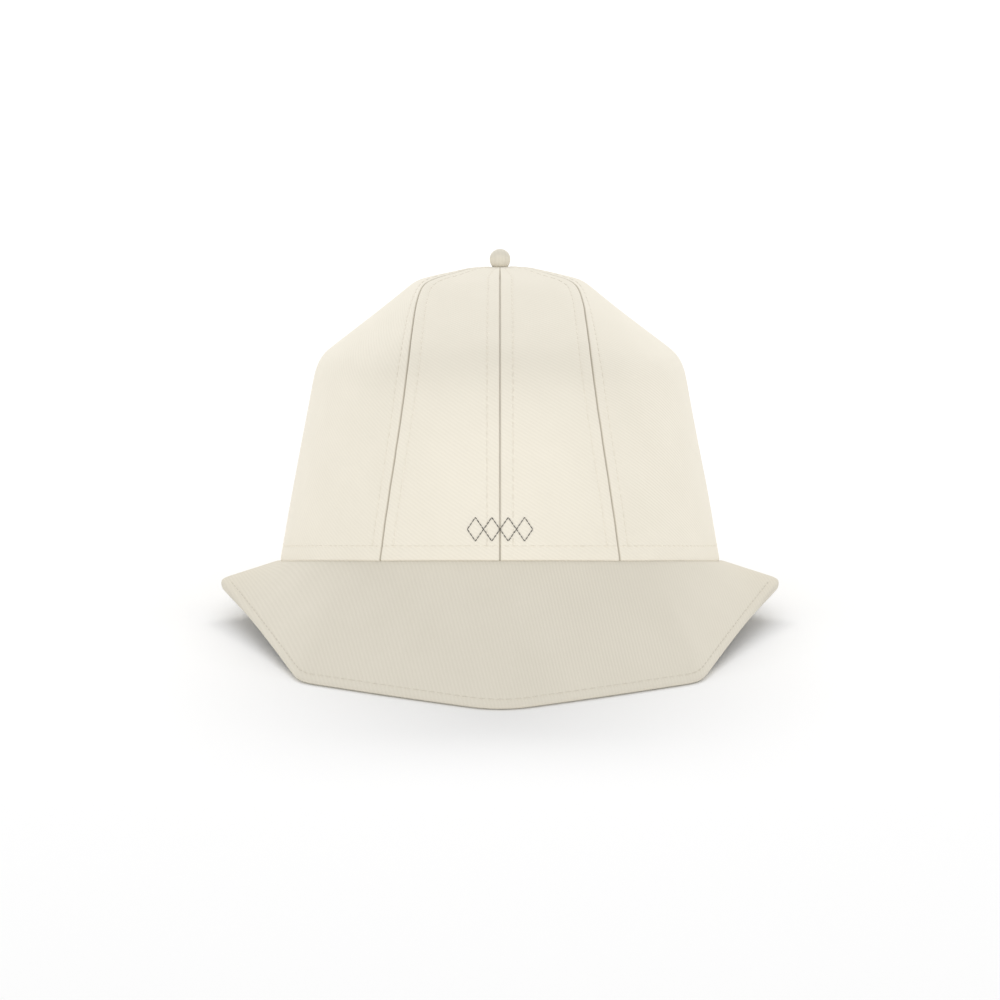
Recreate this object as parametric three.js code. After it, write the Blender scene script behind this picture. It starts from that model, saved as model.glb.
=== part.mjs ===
// A six-panel cloth cap with a covered button and a wide front peak, as it rests by itself on a floor.
// Millimetres, +Z up. The cap faces -Y, X = 0 is its mirror plane, and the floor it rests on is Z = 0.
// The crown is made in the wearer's frame, rim level, and leans back on its hem in a turned group.
import * as THREE from "three";

// Cloth, board and the gaps between sewn pieces
const CLOTH = 2.0;
const PEAK_BOARD = 3.0;
const PEAK_LIP = 1.2;
const SEAM_GAP = 0.3;
const HEM_GAP = 0.35;

// How the cap rests: leaning back by TILT, with the back hem and the peak's front edge pressed flat
const TILT = THREE.MathUtils.degToRad(8.3);
const HEM_SINK = 0.8;

// The crown from its rim to its crown point, one row for each ring where the profile turns.
// halfWidth and sideUp are read at the ears, front and back at the forehead and the nape.
// frontSeam is how far the front seam stands from the middle, so it looks straight from the front.
// facet is how far the section has gone from a smooth oval, 0, to a hexagon with its corners on the seams, 1.
const CROWN = [
  { ring: "rim", halfWidth: 85.6, sideUp: 0.3, front: 100, frontUp: 13.8, back: 101, backUp: 0 },
  { ring: "shoulder", halfWidth: 71.6, sideUp: 80.4, front: 92, frontUp: 84, back: 91, backUp: 72 },
  { ring: "top", halfWidth: 32.2, sideUp: 110.3, front: 40, frontUp: 111, back: 40, backUp: 103 },
  { ring: "dip", halfWidth: 11.5, sideUp: 115.0, front: 12, frontUp: 115.6, back: 12, backUp: 113.2 },
  { ring: "point", halfWidth: 0, sideUp: 115.6, front: 0, frontUp: 115.6, back: 0, backUp: 115.6 },
];
const SEWING = [
  { ring: "rim", frontSeam: 45.6, rearSeam: 112, facet: 0.05 },
  { ring: "shoulder", frontSeam: 35.3, rearSeam: 115, facet: 0.1 },
  { ring: "top", frontSeam: 31.4, rearSeam: 118, facet: 0.5 },
  { ring: "dip", frontSeam: 11.1, rearSeam: 120, facet: 0.64 },
  { ring: "point", frontSeam: 0, rearSeam: 121, facet: 0.7 },
];
// The share of each straight run that the round at a ring takes up: at the ears, front and back, and seams
const SIDE_ROUND = 0.1;
const FRONT_ROUND = 0.42;
const SEAM_ROUND = 0.3;
// How softly the rise of the front half starts at the ears, as a share of the way forward
const EAR_EASE = 0.1;

// The outer edge of the peak's top face, from where it leaves the ear to the tip in front.
// round is the share of the runs beside a corner that its round takes up.
const PEAK_EDGE = [
  { corner: "ear", across: 85.5, forward: 0, up: 15.2, round: 0 },
  { corner: "wing", across: 108.4, forward: 22, up: 13.2, round: 0.12 },
  { corner: "cheek", across: 91.5, forward: 70, up: 7.2, round: 0.5 },
  { corner: "bow", across: 75.8, forward: 118.6, up: PEAK_LIP, round: 0.12 },
  { corner: "front", across: 38.6, forward: 138.6, up: PEAK_LIP, round: 0.5 },
  { corner: "tip", across: 0, forward: 156.8, up: PEAK_LIP, round: 0.3 },
];
const EAR_START = 0.8;

// The covered button and its shank, up and out from the crown point
const BUTTON_RADIUS = 4.1;
const BUTTON_UP = 2.5;
const SHANK_RADIUS = 1.7;
const EYE_RADIUS = 3.0;
const RIVET_RADIUS = 3.6;
const RIVET_THICKNESS = 1.0;
const RIVET_DOWN = 4.0;

// How finely the solids are drawn
const RUN_STEPS = [8, 8, 6, 2];
const PANEL_COLUMNS = { front: 7, side: 12, back: 10 };
const PEAK_COLUMNS = 52;
const PEAK_ROWS = [0, 0.1, 0.28, 0.5, 0.72, 0.88, 0.97, 1];
const BUTTON_SIDES = 24;
const SMALL_STEP = 1e-3;

// A run of straight lines through its corners, with each inner corner rounded by a parabola
class RoundedPath extends THREE.Curve {
  constructor(corners, rounds) {
    super();
    this.corners = corners;
    this.rounds = rounds;
  }

  straight(at) {
    const from = THREE.MathUtils.clamp(Math.floor(at), 0, this.corners.length - 2);
    return this.corners[from].clone().lerp(this.corners[from + 1], at - from);
  }

  getPoint(t, target = new THREE.Vector3()) {
    const last = this.corners.length - 1;
    const at = t * last;
    const corner = Math.round(at);
    const round = corner === 0 || corner === last ? 0 : this.rounds[corner];
    if (Math.abs(at - corner) >= round) return target.copy(this.straight(at));
    const before = this.straight(corner - round);
    const after = this.straight(corner + round);
    const bend = new THREE.QuadraticBezierCurve3(before, this.corners[corner], after);
    return target.copy(bend.getPoint((at - corner + round) / (2 * round)));
  }
}

// The crown's profiles at the ear, the forehead and the nape: x is the distance out, z the height
const profile = (round, place) => new RoundedPath(CROWN.map(place), CROWN.map(() => round));
const sideProfile = profile(SIDE_ROUND, (ring) => new THREE.Vector3(ring.halfWidth, 0, ring.sideUp));
const frontProfile = profile(FRONT_ROUND, (ring) => new THREE.Vector3(ring.front, 0, ring.frontUp));
const backProfile = profile(FRONT_ROUND, (ring) => new THREE.Vector3(ring.back, 0, ring.backUp));

// The sewing beside them: x is the front seam's half width, y the rear seam's angle, z the facet share
const radians = THREE.MathUtils.degToRad;
const sewing = new RoundedPath(
  SEWING.map(({ frontSeam, rearSeam, facet }) => new THREE.Vector3(frontSeam, radians(rearSeam), facet)),
  SEWING.map(() => SEAM_ROUND),
);

// A ramp that is 0 behind the ears and grows to 1 at the front, eased at the ears
const easedRamp = (forward) => (forward + Math.hypot(forward, EAR_EASE)) / 2;

// The oval that a hexagonal section is cut from is wider than the section at the ears
const HEXAGON_LOSS = 1 - Math.cos(Math.PI / 6);
const hexagonShare = (climb) => 1 - sewing.getPoint(climb).z * HEXAGON_LOSS;
const ovalHalfWidth = (climb) => sideProfile.getPoint(climb).x / hexagonShare(climb);

// A point of the crown's outer face, at an angle from the front and a share of the climb from rim to point
function crownPoint(angle, climb, squeeze = 1) {
  const side = sideProfile.getPoint(climb);
  const front = frontProfile.getPoint(climb);
  const back = backProfile.getPoint(climb);
  const forward = Math.cos(angle);
  const reach = forward > 0 ? front.x : back.x;
  const rise = (front.z - side.z) * easedRamp(forward) + (back.z - side.z) * easedRamp(-forward);
  return new THREE.Vector3(
    squeeze * ovalHalfWidth(climb) * Math.sin(angle),
    -squeeze * reach * forward,
    side.z + rise,
  );
}

// The crown's outward direction on the smooth oval, the same for both panels at a seam
function crownOutward(angle, climb) {
  const around = crownPoint(angle + SMALL_STEP, climb).sub(crownPoint(angle - SMALL_STEP, climb));
  const low = Math.max(0, climb - SMALL_STEP);
  const up = crownPoint(angle, low + 2 * SMALL_STEP).sub(crownPoint(angle, low));
  const outward = around.cross(up).normalize();
  if (climb === 0) outward.setZ(0).normalize();
  return outward;
}

const frontSeamAngle = (climb) => Math.asin(sewing.getPoint(climb).x / ovalHalfWidth(climb));
const rearSeamAngle = (climb) => sewing.getPoint(climb).y;

const PANELS = [
  { name: "front", from: () => 0, to: frontSeamAngle },
  { name: "side", from: frontSeamAngle, to: rearSeamAngle },
  { name: "back", from: rearSeamAngle, to: () => Math.PI },
];

// The crown leans back about the rim's centre, lifted so that the back hem just presses into the floor
const crownLift = CROWN[0].back * Math.sin(TILT) - HEM_SINK;

// The hem is pressed flat where it would go below the floor
function pressedHem(point) {
  const height = point.z * Math.cos(TILT) - point.y * Math.sin(TILT) + crownLift;
  if (height < 0) point.z -= height / Math.cos(TILT);
  return point;
}

// A closed body between two faces of a sheet, each a grid of rows of points, seen from the outer side
function sheetGeometry(outer, inner) {
  const rows = outer.length;
  const columns = outer[0].length;
  const points = [...outer.flat(), ...inner.flat()];
  const place = (face, row, column) => face * rows * columns + row * columns + column;
  const index = [];
  const quad = (a, b, c, d) => index.push(a, b, c, a, c, d);
  for (let row = 0; row < rows - 1; row++) {
    for (let column = 0; column < columns - 1; column++) {
      const corners = [[row, column], [row, column + 1], [row + 1, column + 1], [row + 1, column]];
      quad(...corners.map(([r, c]) => place(0, r, c)));
      quad(...corners.map(([r, c]) => place(1, r, c)).reverse());
    }
  }
  const border = [];
  for (let column = 0; column < columns - 1; column++) border.push([0, column]);
  for (let row = 0; row < rows - 1; row++) border.push([row, columns - 1]);
  for (let column = columns - 1; column > 0; column--) border.push([rows - 1, column]);
  for (let row = rows - 1; row > 0; row--) border.push([row, 0]);
  border.forEach(([row, column], i) => {
    const next = border[(i + 1) % border.length];
    quad(place(0, ...next), place(0, row, column), place(1, row, column), place(1, ...next));
  });
  const geometry = new THREE.BufferGeometry().setFromPoints(points);
  geometry.setIndex(index);
  geometry.computeVertexNormals();
  return geometry;
}

const mirrored = (grid) => grid.map((row) => row.map((p) => new THREE.Vector3(-p.x, p.y, p.z)).reverse());

// The climb of each row of a panel, run by run from the rim up to the eye at the top
function rowClimbs() {
  const runs = RUN_STEPS.length;
  const runClimbs = (steps, run) => Array.from({ length: steps }, (_, step) => (run + step / steps) / runs);
  const climbs = RUN_STEPS.flatMap(runClimbs);
  return [...climbs.slice(0, -1), 1 - EYE_RADIUS / CROWN[runs - 1].front / runs];
}

// One panel of the wearer's left half: its outer and inner faces
function panelFaces(panel, columns) {
  const outer = [];
  const inner = [];
  for (const climb of rowClimbs()) {
    const facet = sewing.getPoint(climb).z;
    const from = panel.from(climb);
    const to = panel.to(climb);
    const middle = (from + to) / 2;
    const outerRow = [];
    const innerRow = [];
    for (let column = 0; column <= columns; column++) {
      const seamless = THREE.MathUtils.lerp(from, to, column / columns);
      const chord = Math.cos((to - from) / 2) / Math.cos(seamless - middle);
      const squeeze = 1 + facet * (chord - 1);
      const radius = Math.hypot(...crownPoint(seamless, climb).toArray().slice(0, 2));
      const inset = (SEAM_GAP / 2 / radius) * (1 - (2 * column) / columns);
      const angle = seamless + inset;
      const outerPoint = crownPoint(angle, climb, squeeze);
      const innerPoint = outerPoint.clone().addScaledVector(crownOutward(angle, climb), -CLOTH);
      outerRow.push(climb === 0 ? pressedHem(outerPoint) : outerPoint);
      innerRow.push(climb === 0 ? pressedHem(innerPoint) : innerPoint);
    }
    outer.push(outerRow);
    inner.push(innerRow);
  }
  return { outer, inner };
}

const cloth = (color, roughness) => new THREE.MeshStandardMaterial({ color, roughness, metalness: 0 });

function namedMesh(name, geometry, material) {
  const mesh = new THREE.Mesh(geometry, material);
  mesh.name = name;
  return mesh;
}

// The covered button: a ball seated on the crown point, its shank through the eye and its rivet inside
function buttonGeometry() {
  const under = -RIVET_DOWN;
  const seat = SEAM_GAP;
  const startAngle = Math.asin((seat - BUTTON_UP) / BUTTON_RADIUS);
  const profile = [
    new THREE.Vector2(0, under - RIVET_THICKNESS),
    new THREE.Vector2(RIVET_RADIUS, under - RIVET_THICKNESS),
    new THREE.Vector2(RIVET_RADIUS, under),
    new THREE.Vector2(SHANK_RADIUS, under),
    new THREE.Vector2(SHANK_RADIUS, seat),
  ];
  const arcSteps = 12;
  for (let step = 0; step <= arcSteps; step++) {
    const angle = THREE.MathUtils.lerp(startAngle, Math.PI / 2, step / arcSteps);
    const out = step === arcSteps ? 0 : BUTTON_RADIUS * Math.cos(angle);
    profile.push(new THREE.Vector2(out, BUTTON_UP + BUTTON_RADIUS * Math.sin(angle)));
  }
  return new THREE.LatheGeometry(profile, BUTTON_SIDES).rotateX(Math.PI / 2);
}

// The rim's outer line on the front half, in the resting frame, from the wearer's right ear to the left
class RimLine extends THREE.Curve {
  constructor(crown, inset) {
    super();
    this.crown = crown;
    this.inset = inset;
  }

  getPoint(t, target = new THREE.Vector3()) {
    const angle = (t - 0.5) * Math.PI;
    const point = crownPoint(angle, 0).addScaledVector(crownOutward(angle, 0), -this.inset);
    return target.copy(point.applyMatrix4(this.crown.matrix));
  }
}

// The peak: a ruled board between the hem and its outer edge, with a level margin tucked under the hem
function peakGeometry(crown) {
  const hemLine = new RimLine(crown, 0);
  const tuckLine = new RimLine(crown, CLOTH);
  const half = PEAK_EDGE.map(({ across, forward, up }) => new THREE.Vector3(across, -forward, up));
  half[0].lerp(half[1], EAR_START);
  const corners = [...half.map((p) => new THREE.Vector3(-p.x, p.y, p.z)), ...half.slice(0, -1).reverse()];
  const rounds = [...PEAK_EDGE, ...PEAK_EDGE.slice(0, -1).reverse()].map(({ round }) => round);
  const edgeLine = new RoundedPath(corners, rounds);

  const topPoint = (around, out) => {
    const hem = hemLine.getPointAt(around);
    hem.z -= HEM_GAP;
    return hem.lerp(edgeLine.getPointAt(around), out);
  };
  // Read at half the way out, because at the wing the edge runs along the ruling itself
  const upward = (around, out) => {
    const left = Math.max(0, around - SMALL_STEP);
    const right = Math.min(1, around + SMALL_STEP);
    const along = topPoint(right, out / 2).sub(topPoint(left, out / 2));
    const outward = topPoint(around, 1).sub(topPoint(around, 0));
    return outward.cross(along).normalize();
  };

  const top = [];
  const under = [];
  const margin = { top: [], under: [] };
  for (let column = 0; column <= PEAK_COLUMNS; column++) {
    const tuck = tuckLine.getPointAt(column / PEAK_COLUMNS);
    tuck.z -= HEM_GAP;
    margin.top.push(tuck);
    margin.under.push(tuck.clone().setZ(tuck.z - PEAK_BOARD));
  }
  top.push(margin.top);
  under.push(margin.under);
  for (const out of PEAK_ROWS) {
    const topRow = [];
    const underRow = [];
    for (let column = 0; column <= PEAK_COLUMNS; column++) {
      const around = column / PEAK_COLUMNS;
      const point = topPoint(around, out);
      const below = point.clone().addScaledVector(upward(around, out), -PEAK_BOARD);
      below.z = Math.max(0, below.z);
      topRow.push(point);
      underRow.push(below);
    }
    top.push(topRow);
    under.push(underRow);
  }
  return sheetGeometry(under, top);
}

const crown = new THREE.Group();
crown.rotation.x = -TILT;
crown.position.z = crownLift;
crown.updateMatrix();

for (const panel of PANELS) {
  const { outer, inner } = panelFaces(panel, PANEL_COLUMNS[panel.name]);
  const left = sheetGeometry(outer, inner);
  const right = sheetGeometry(mirrored(outer), mirrored(inner));
  crown.add(namedMesh(`panel_${panel.name}_left`, left, cloth("#eee8da", 0.92)));
  crown.add(namedMesh(`panel_${panel.name}_right`, right, cloth("#eee8da", 0.92)));
}

const button = namedMesh("button", buttonGeometry(), cloth("#dad4c8", 0.85));
button.position.z = CROWN[CROWN.length - 1].sideUp;
crown.add(button);

// The origin is the middle of the footprint on the floor
const resting = new THREE.Group();
resting.add(crown);
resting.add(namedMesh("peak", peakGeometry(crown), cloth("#dad4c6", 0.9)));
const footprint = new THREE.Box3().setFromObject(resting, true);
resting.position.y = -(footprint.min.y + footprint.max.y) / 2;

const cap = new THREE.Group();
cap.add(resting);

export default cap;
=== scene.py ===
# %% [markdown]
# # A six-panel cloth cap with a wide front peak
# The cap is six cotton panels sewn into a crown, a covered button where they meet, and a stiff
# cloth-covered peak under the front half of the hem. It lies on a floor as it would by itself,
# on the front edge of its peak and the back of its hem, so the crown leans back a little.
#
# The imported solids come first, as a fixed frame. Every piece below is made around them in
# metres, in their own coordinates: the cap faces -Y, X = 0 is its mirror plane, Z = 0 the floor.

import math
from functools import lru_cache

import bpy
from mathutils import Matrix, Vector, noise


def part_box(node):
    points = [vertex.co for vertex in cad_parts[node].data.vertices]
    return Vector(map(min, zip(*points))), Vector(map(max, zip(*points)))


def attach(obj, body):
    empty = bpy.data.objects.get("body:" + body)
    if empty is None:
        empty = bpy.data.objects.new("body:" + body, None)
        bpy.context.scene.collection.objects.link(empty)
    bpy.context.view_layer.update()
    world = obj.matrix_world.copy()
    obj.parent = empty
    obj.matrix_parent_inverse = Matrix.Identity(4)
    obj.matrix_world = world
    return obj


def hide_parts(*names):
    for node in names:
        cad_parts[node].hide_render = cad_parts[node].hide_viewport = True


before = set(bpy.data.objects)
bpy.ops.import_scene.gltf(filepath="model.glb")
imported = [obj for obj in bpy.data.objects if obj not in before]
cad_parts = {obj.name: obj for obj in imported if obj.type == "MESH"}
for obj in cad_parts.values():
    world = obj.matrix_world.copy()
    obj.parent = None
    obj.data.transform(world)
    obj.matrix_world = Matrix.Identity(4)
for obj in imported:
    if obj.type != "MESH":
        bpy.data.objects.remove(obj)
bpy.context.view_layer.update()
MM = 0.001

# %% [markdown]
# ## The pattern of the crown
# A cap's crown is cut from a paper pattern, and the pattern comes from a few measures: how wide
# and how far forward each ring of the crown stands, and where the seams cross it. The same rings
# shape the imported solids, in millimetres on the wearer's level head, so the cloth will lie where
# the solids are. A facet of 0 keeps a ring oval, and 1 makes it a hexagon cornered at the seams.

# %% Rings and seams
CROWN = [
    {"ring": "rim", "side": 85.6, "side_up": 0.3,
     "front": 100, "front_up": 13.8, "back": 101, "back_up": 0},
    {"ring": "shoulder", "side": 71.6, "side_up": 80.4,
     "front": 92, "front_up": 84, "back": 91, "back_up": 72},
    {"ring": "top", "side": 32.2, "side_up": 110.3,
     "front": 40, "front_up": 111, "back": 40, "back_up": 103},
    {"ring": "dip", "side": 11.5, "side_up": 115,
     "front": 12, "front_up": 115.6, "back": 12, "back_up": 113.2},
    {"ring": "point", "side": 0, "side_up": 115.6,
     "front": 0, "front_up": 115.6, "back": 0, "back_up": 115.6},
]
SEWING = [
    {"ring": "rim", "front_seam": 45.6, "rear_seam": 112, "facet": 0.05},
    {"ring": "shoulder", "front_seam": 35.3, "rear_seam": 115, "facet": 0.1},
    {"ring": "top", "front_seam": 31.4, "rear_seam": 118, "facet": 0.5},
    {"ring": "dip", "front_seam": 11.1, "rear_seam": 120, "facet": 0.64},
    {"ring": "point", "front_seam": 0, "rear_seam": 121, "facet": 0.7},
]
SIDE_ROUND, FRONT_ROUND, SEAM_ROUND = 0.1, 0.42, 0.3  # how much of a run each corner's curve takes
EAR_EASE = 0.1  # how gently a ring turns from its front height to its back height at the ears
LEAN = math.radians(8.3)
HEM_SINK = 0.8  # how far the floor presses the hem up at the nape
BUTTON_RADIUS, BUTTON_UP = 4.1, 2.5  # its middle stands so far above the crown point
EYE_RADIUS = 3.0  # the panels end here, round the button's shank

crown_top = CROWN[-1]["side_up"]
crown_lift = CROWN[0]["back"] * math.sin(LEAN) - HEM_SINK
button_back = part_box("button")[1].y / MM
ear_y = button_back - BUTTON_RADIUS - (crown_top + BUTTON_UP) * math.sin(LEAN)
print("the ears' line is", round(ear_y, 2), "mm behind the middle of the footprint")

# %% [markdown]
# The rings are joined by straight runs with rounded corners, as a pattern maker draws them with
# a ruler and a curve. One function makes such a line, and the crown's side, front and back
# profiles and its seams are all drawn with it.

# %% Rounded lines
def rounded_line(corners, rounds):
    """A function from 0 to 1 along straight runs, with each inner corner rounded off."""
    last = len(corners) - 1

    def straight(at):
        start = min(max(math.floor(at), 0), last - 1)
        return corners[start].lerp(corners[start + 1], at - start)

    def point(share):
        at = share * last
        corner = round(at)
        reach = 0 if corner in (0, last) else rounds[corner]
        if abs(at - corner) >= reach:
            return straight(at)
        turn = (at - corner + reach) / (2 * reach)
        first = straight(corner - reach).lerp(corners[corner], turn)
        second = corners[corner].lerp(straight(corner + reach), turn)
        return first.lerp(second, turn)

    return point


def profile(out, up, round_share):
    """A profile of the crown: x is how far out it stands, z how high."""
    corners = [Vector((ring[out], 0, ring[up])) for ring in CROWN]
    return rounded_line(corners, [round_share] * len(CROWN))


side_profile = profile("side", "side_up", SIDE_ROUND)
front_profile = profile("front", "front_up", FRONT_ROUND)
back_profile = profile("back", "back_up", FRONT_ROUND)
seam_line = rounded_line(
    [Vector((ring["front_seam"], math.radians(ring["rear_seam"]), ring["facet"])) for ring in SEWING],
    [SEAM_ROUND] * len(SEWING),
)
print("half way up the side, the crown stands", round(side_profile(0.5).x, 1), "mm out")

# %% [markdown]
# A point of the crown is named by its angle round the head, 0 at the forehead, and its climb,
# 0 at the hem and 1 at the crown point. Between forehead, ears and nape a ring is an ellipse,
# whose height eases from one to the next. Everything that is sewn to the crown asks this same
# function where the cloth is.

# %% The crown's surface
HEXAGON_LOSS = 1 - math.cos(math.pi / 6)  # how much closer a hexagon's sides are than its corners
STEP = 1e-3  # a small step of angle or climb


@lru_cache(maxsize=None)
def ring_at(climb):
    """The ring at a climb: its half width, reaches and heights in mm, its seams and its facet."""
    side, front, back = side_profile(climb), front_profile(climb), back_profile(climb)
    seam = seam_line(climb)
    oval = side.x / (1 - seam.z * HEXAGON_LOSS)
    return {
        "oval": oval, "side_up": side.z, "facet": seam.z,
        "front": front.x, "front_up": front.z, "back": back.x, "back_up": back.z,
        "front_seam": math.asin(seam.x / oval) if oval else 0, "rear_seam": seam.y,
    }


def crown_point(angle, climb, squeeze=1.0):
    """A point of the crown's outer face, in mm on a level head. A squeeze under 1 draws it in."""
    ring = ring_at(climb)
    forward = math.cos(angle)
    reach = ring["front"] if forward > 0 else ring["back"]
    front_share = (forward + math.hypot(forward, EAR_EASE)) / 2
    back_share = (math.hypot(forward, EAR_EASE) - forward) / 2
    rise = (ring["front_up"] - ring["side_up"]) * front_share
    rise += (ring["back_up"] - ring["side_up"]) * back_share
    out = squeeze * ring["oval"] * math.sin(angle)
    return Vector((out, -squeeze * reach * forward, ring["side_up"] + rise))


def crown_outward(angle, climb):
    """The way out of the crown there, level at the hem."""
    low = max(0.0, climb - STEP)
    around = crown_point(angle + STEP, climb) - crown_point(angle - STEP, climb)
    up = crown_point(angle, low + 2 * STEP) - crown_point(angle, low)
    outward = around.cross(up)
    if climb == 0:
        outward.z = 0
    return outward.normalized()


def leaned(point):
    """A point of the level crown, in mm, where it is on the leaning cap, in metres."""
    turned = Matrix.Rotation(-LEAN, 3, "X") @ point
    return (turned + Vector((0, ear_y, crown_lift))) * MM


print("forehead of the hem at", [round(place, 4) for place in leaned(crown_point(0, 0))])

# %% [markdown]
# ## Helpers for working by hand
# An operator acts on whatever is selected, so each step starts by clearing the selection and
# picking its one piece. A modifier is applied as soon as its settings are right, which leaves a
# plain mesh to go on with.

# %% Picking and finishing
def pick(*pieces):
    """Only these pieces are selected, and the first one is active."""
    if bpy.context.mode != "OBJECT":
        bpy.ops.object.mode_set(mode="OBJECT")
    bpy.ops.object.select_all(action="DESELECT")
    for piece in pieces:
        piece.select_set(True)
    if pieces:
        bpy.context.view_layer.objects.active = pieces[0]


def named(name):
    """Names the active piece, such as one that an operator has just added, and its mesh."""
    piece = bpy.context.object
    piece.name = name
    piece.data.name = name
    return piece


def apply_modifier(piece, kind, **settings):
    """Adds a modifier with its settings and applies it."""
    modifier = piece.modifiers.new(kind.title(), kind)
    for setting, value in settings.items():
        setattr(modifier, setting, value)
    pick(piece)
    bpy.ops.object.modifier_apply(modifier=modifier.name)


def smooth(piece, times):
    """Rounds a mesh by subdividing it, and shades it smooth."""
    apply_modifier(piece, "SUBSURF", levels=times, render_levels=times)
    bpy.ops.object.shade_smooth()


def off_the_floor(piece):
    """Cloth that would go below the floor is pressed flat on it."""
    for vertex in piece.data.vertices:
        vertex.co.z = max(vertex.co.z, 0.0)


pick()
print("pieces still selected:", len(bpy.context.selected_objects))

# %% [markdown]
# A finished piece gets its material, and is then told where it belongs: the body that it moves
# with, and the plain solids that it stands for.

# %% Dressing the cap
def dress(piece, material, replaces=()):
    """Gives a finished piece its material, its place on the cap and the solids it stands for."""
    piece.data.materials.clear()
    piece.data.materials.append(material)
    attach(piece, "root")
    if replaces:
        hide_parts(*replaces)
    print(piece.name, len(piece.data.polygons), "faces")


# %% [markdown]
# ## Colours and cloth
# The cap is cream, and its peak and button a shade darker and greyer. Colours are picked as sRGB
# hex values, and shaders work in linear light, so one function turns them. Another adds a shader
# node with its settings and links, which keeps each material short enough to read.

# %% Colour and node helpers
def linear(hex_colour):
    """An sRGB hex colour as linear red, green, blue and alpha, by the curve of the sRGB standard."""
    channels = [int(hex_colour[start:start + 2], 16) / 255 for start in (1, 3, 5)]
    turned = [c / 12.92 if c <= 0.04045 else ((c + 0.055) / 1.055) ** 2.4 for c in channels]
    return (*turned, 1.0)


def add_node(tree, kind, inputs=None, **settings):
    """Adds a shader node. An input is given a value, or the socket that it is joined to."""
    node = tree.nodes.new(kind)
    for setting, value in settings.items():
        setattr(node, setting, value)
    for name, value in (inputs or {}).items():
        if isinstance(value, bpy.types.NodeSocket):
            tree.links.new(value, node.inputs[name])
        else:
            node.inputs[name].default_value = value
    return node


def new_material(name, **sockets):
    """A material with its shader's own sockets set. Returns it, its tree and its shader."""
    material = bpy.data.materials.new(name)
    material.use_nodes = True
    shader = material.node_tree.nodes["Principled BSDF"]
    for socket, value in sockets.items():
        shader.inputs[socket.replace("_", " ")].default_value = value
    return material, material.node_tree, shader


print("a cream of #ede7d9 is", [round(channel, 3) for channel in linear("#ede7d9")[:3]], "in linear")

# %% [markdown]
# Cotton twill is woven so that each thread steps one to the side of the last, which draws fine
# slanting ribs. The ribs must follow the cloth and not the room, so the pattern reads the
# piece's own UV map, laid out in metres as the cloth was cut. A wave across the rib angle makes
# the ribs, fine noise breaks them into uneven threads, and soft noise gives the slightly uneven
# dye of washed cotton. Cotton has no shine, only a faint sheen of fibre ends at its edges. The
# peak's cloth is cut so that its ribs run nearly front to back, and the crown's slant across.

# %% Cotton twill
RIB_SPACING = 1.3 * MM  # real twill has 2 ribs to the millimetre, drawn coarser so that they show
THREAD_SIZE = 0.7 * MM  # two real threads, drawn as one so that they show
DYE_SPOT = 22 * MM
THREAD_SHARE, DYE_SHARE = 0.4, 0.5  # how much of the tone is thread and not rib, dye and not weave
WAVE_PERIOD = 2 * math.pi / 20  # one band of a Wave texture at a scale of 1
COLOUR_A, COLOUR_B, MIXED = 6, 7, 2  # a Mix node's colour sockets share their names with others


def cotton_twill(name, light, shade, wear_and_seam_shade, rib_angle):
    """Matt woven cotton, ribbed in a darker shade of its dye, greyed by painted shade in seams and by
    wear.
    """
    material, tree, shader = new_material(
        name, Roughness=0.92, IOR=1.5, Specular_IOR_Level=0.2, Sheen_Weight=0.1, Sheen_Roughness=0.6
    )
    cut = add_node(tree, "ShaderNodeUVMap", uv_map="cut").outputs["UV"]
    ribs = add_node(tree, "ShaderNodeMapping", {
        "Vector": cut, "Rotation": (0, 0, math.radians(rib_angle)),
    })
    rib = add_node(tree, "ShaderNodeTexWave", {
        "Vector": ribs.outputs["Vector"], "Scale": WAVE_PERIOD / RIB_SPACING,
        "Distortion": 0.6, "Detail": 1.0,
    })
    thread = add_node(tree, "ShaderNodeTexNoise", {
        "Vector": cut, "Scale": 1 / THREAD_SIZE, "Detail": 1.0,
    })
    dye = add_node(tree, "ShaderNodeTexNoise", {"Vector": cut, "Scale": 1 / DYE_SPOT, "Detail": 3.0})
    weave = add_node(tree, "ShaderNodeMix", {
        "Factor": THREAD_SHARE, "A": rib.outputs["Fac"], "B": thread.outputs["Fac"],
    })
    tone = add_node(tree, "ShaderNodeMix", {
        "Factor": DYE_SHARE, "A": weave.outputs["Result"], "B": dye.outputs["Fac"],
    })
    colour = add_node(tree, "ShaderNodeMix", {
        "Factor": tone.outputs["Result"], COLOUR_A: linear(shade), COLOUR_B: linear(light),
    }, data_type="RGBA")
    # The attribute greys the dye: painted shade in the seams' grooves, wear along the peak's edge.
    wear_and_seam_shade_node = add_node(tree, "ShaderNodeAttribute", attribute_name="wear_and_seam_shade")
    greyed = add_node(tree, "ShaderNodeMix", {
        "Factor": wear_and_seam_shade_node.outputs["Fac"], COLOUR_A: colour.outputs[MIXED], COLOUR_B: linear(wear_and_seam_shade),
    }, data_type="RGBA")
    tree.links.new(greyed.outputs[MIXED], shader.inputs["Base Color"])
    bump = add_node(tree, "ShaderNodeBump", {
        "Strength": 0.35, "Distance": 0.12 * MM, "Height": weave.outputs["Result"],
    })
    tree.links.new(bump.outputs["Normal"], shader.inputs["Normal"])
    return material


# The cream's greyed colour is painted shade in the seams' grooves; the beige's is wear on the peak's
# edge.
CREAM_TWILL = cotton_twill(
    "cream_cotton_twill", light="#ede7d9", shade="#e1dbcc", wear_and_seam_shade="#d0cabc", rib_angle=-58
)
BEIGE_TWILL = cotton_twill(
    "beige_cotton_twill", light="#e0dacc", shade="#d4cebf", wear_and_seam_shade="#bfb9ab", rib_angle=-14
)
print("made", CREAM_TWILL.name, "and", BEIGE_TWILL.name)

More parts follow.
